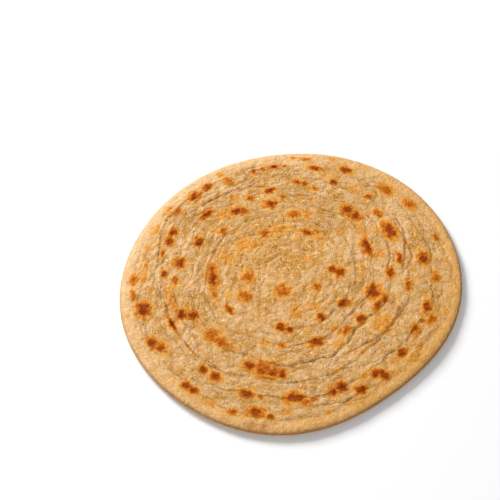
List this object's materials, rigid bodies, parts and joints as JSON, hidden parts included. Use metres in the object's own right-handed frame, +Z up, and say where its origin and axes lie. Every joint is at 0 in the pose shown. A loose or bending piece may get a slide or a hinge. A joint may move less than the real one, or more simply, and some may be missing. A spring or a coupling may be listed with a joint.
{
  "type": "wheat paratha",
  "caption": "Round, griddled wheat flatbread with a coiled, layered surface, browned spots and a rounded rim.",
  "frame": {"origin": "middle of the bread's footprint, on the plane it rests on", "axes": "+Z up, through the bread's thickness; +X to the right and +Y away, as the bread lies before the viewer"},
  "size_m": [0.1824, 0.177, 0.0069],
  "materials": {
    "crust": "griddled wheat crust, dull with a slight sheen of oil, golden tan with browned spots"
  },
  "bodies": {
    "root": {"wheat_paratha": "crust"}
  },
  "joints": []
}
